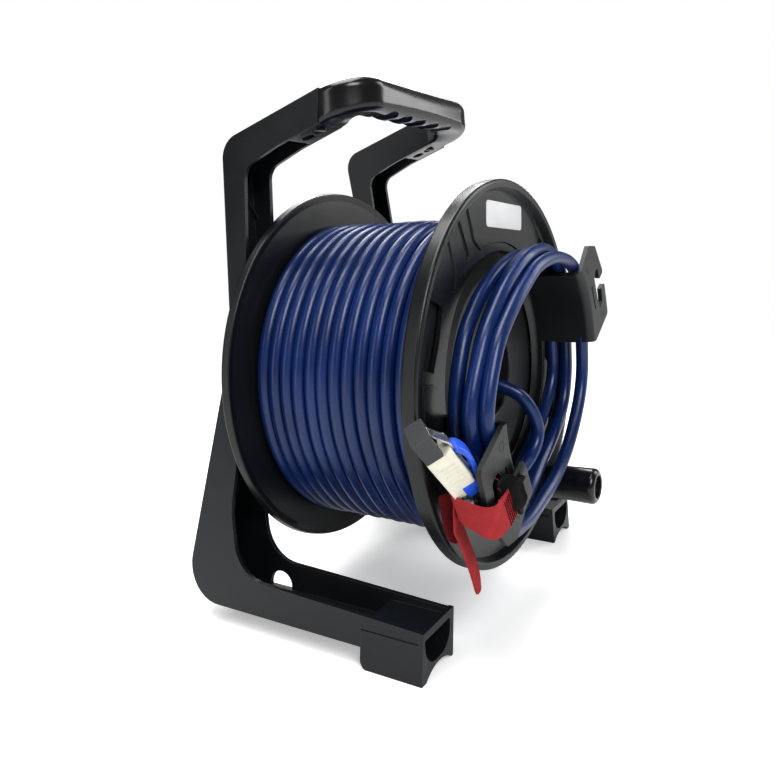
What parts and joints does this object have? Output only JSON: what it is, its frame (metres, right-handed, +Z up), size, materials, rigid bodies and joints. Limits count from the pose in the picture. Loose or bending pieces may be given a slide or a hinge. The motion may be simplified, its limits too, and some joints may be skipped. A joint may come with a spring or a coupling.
{
  "type": "portable cable reel",
  "caption": "Free-standing frame with carrying handle holding a cantilevered drum of blue data cable, with cable hooks, crank and capped RJ45 plug.",
  "frame": {"origin": "on the floor, at the centre of the whole reel's footprint, which includes the stowed plug; the drum's axis stands 141.2 mm above the floor and 10.1 mm to +X of the origin", "axes": "+Z up (the longest extent), +Y from the crank side at the front towards the frame's legs at the back, parallel to the drum's axle (the shortest extent), +X to the right as seen from the front"},
  "size_m": [0.2552, 0.2058, 0.3184],
  "materials": {
    "frame_plastic": "fine-textured charcoal black moulding",
    "handle_plastic": "glossy black moulding",
    "flange_plastic": "semi-gloss black moulding",
    "disc_plastic": "dark grey satin moulding",
    "hook_plastic": "satin dark grey moulding",
    "drum_plastic": "black moulding",
    "foot_rubber": "black rubber",
    "bush_plastic": "natural bearing plastic",
    "zinc_steel": "zinc plated",
    "black_steel": "black plated",
    "axle_steel": "turned steel",
    "cable_jacket": "navy blue satin polyurethane jacket",
    "plug_metal": "bead-blasted die-cast metal, pale silver",
    "plug_clear": "translucent contact carrier",
    "plug_blue": "bright blue moulding",
    "cap_plastic": "dark grey moulding",
    "strap_fabric": "red hook-and-loop tape, black on the inner side",
    "label_film": "blank white film"
  },
  "bodies": {
    "frame": {"left_side_frame": "frame_plastic", "right_side_frame": "frame_plastic", "carry_handle": "handle_plastic", "handle_screws": "zinc_steel", "left_front_foot": "frame_plastic", "right_front_foot": "frame_plastic", "left_rear_foot": "foot_rubber", "right_rear_foot": "foot_rubber", "foot_screws": "zinc_steel", "bearing_crossplate": "frame_plastic", "crossplate_screws": "zinc_steel", "axle": "axle_steel", "axle_washer": "zinc_steel", "axle_nut": "zinc_steel"},
    "drum": {"drum_core": "drum_plastic", "front_flange": "flange_plastic", "rear_flange": "flange_plastic", "front_bush": "bush_plastic", "rear_bush": "bush_plastic", "drag_washer": "bush_plastic", "wave_spring": "axle_steel", "retaining_washer": "zinc_steel", "retaining_screw": "zinc_steel", "rear_flange_screws": "zinc_steel", "hub_disc": "disc_plastic", "hub_disc_screws": "black_steel", "upper_cable_hook": "hook_plastic", "lower_cable_hook": "hook_plastic", "hook_screws": "zinc_steel", "label": "label_film", "crank_pin": "axle_steel", "crank_screw": "black_steel", "wound_cable": "cable_jacket", "cable_loops": "cable_jacket", "cable_lead": "cable_jacket", "plug_tail": "cable_jacket", "plug_shell": "plug_metal", "plug_nose": "plug_clear", "plug_latch": "plug_metal", "plug_collar": "plug_blue", "plug_gland": "plug_metal", "strap_wrap": "strap_fabric"},
    "crank": {"crank_grip": "handle_plastic"},
    "dust_cap": {"plug_dust_cap": "cap_plastic"},
    "release_lever": {"plug_release_lever": "plug_blue"},
    "strap_end": {"strap_tail": "strap_fabric"}
  },
  "joints": [
    {"name": "drum_spin", "type": "hinge", "parent": "frame", "child": "drum", "pos_m": [0.01009, -0.00492, 0.1412], "axis": [0, -1, 0], "continuous": true},
    {"name": "crank_grip_spin", "type": "hinge", "parent": "drum", "child": "crank", "pos_m": [0.06455, -0.07492, 0.05733], "axis": [0, -1, 0], "continuous": true},
    {"name": "dust_cap_pull", "type": "slide", "parent": "drum", "child": "dust_cap", "axis": [-0.6613, 0.1431, 0.7363], "range_m": [0, 0.018]},
    {"name": "release_lever_press", "type": "hinge", "parent": "drum", "child": "release_lever", "pos_m": [-0.08759, -0.08704, 0.11017], "axis": [-0.6232, -0.6511, -0.4332], "range_deg": [0, 5]},
    {"name": "strap_tail_lift", "type": "hinge", "parent": "drum", "child": "strap_end", "pos_m": [-0.08031, -0.07132, 0.0779], "axis": [-1, 0, 0], "range_deg": [0, 45]}
  ]
}
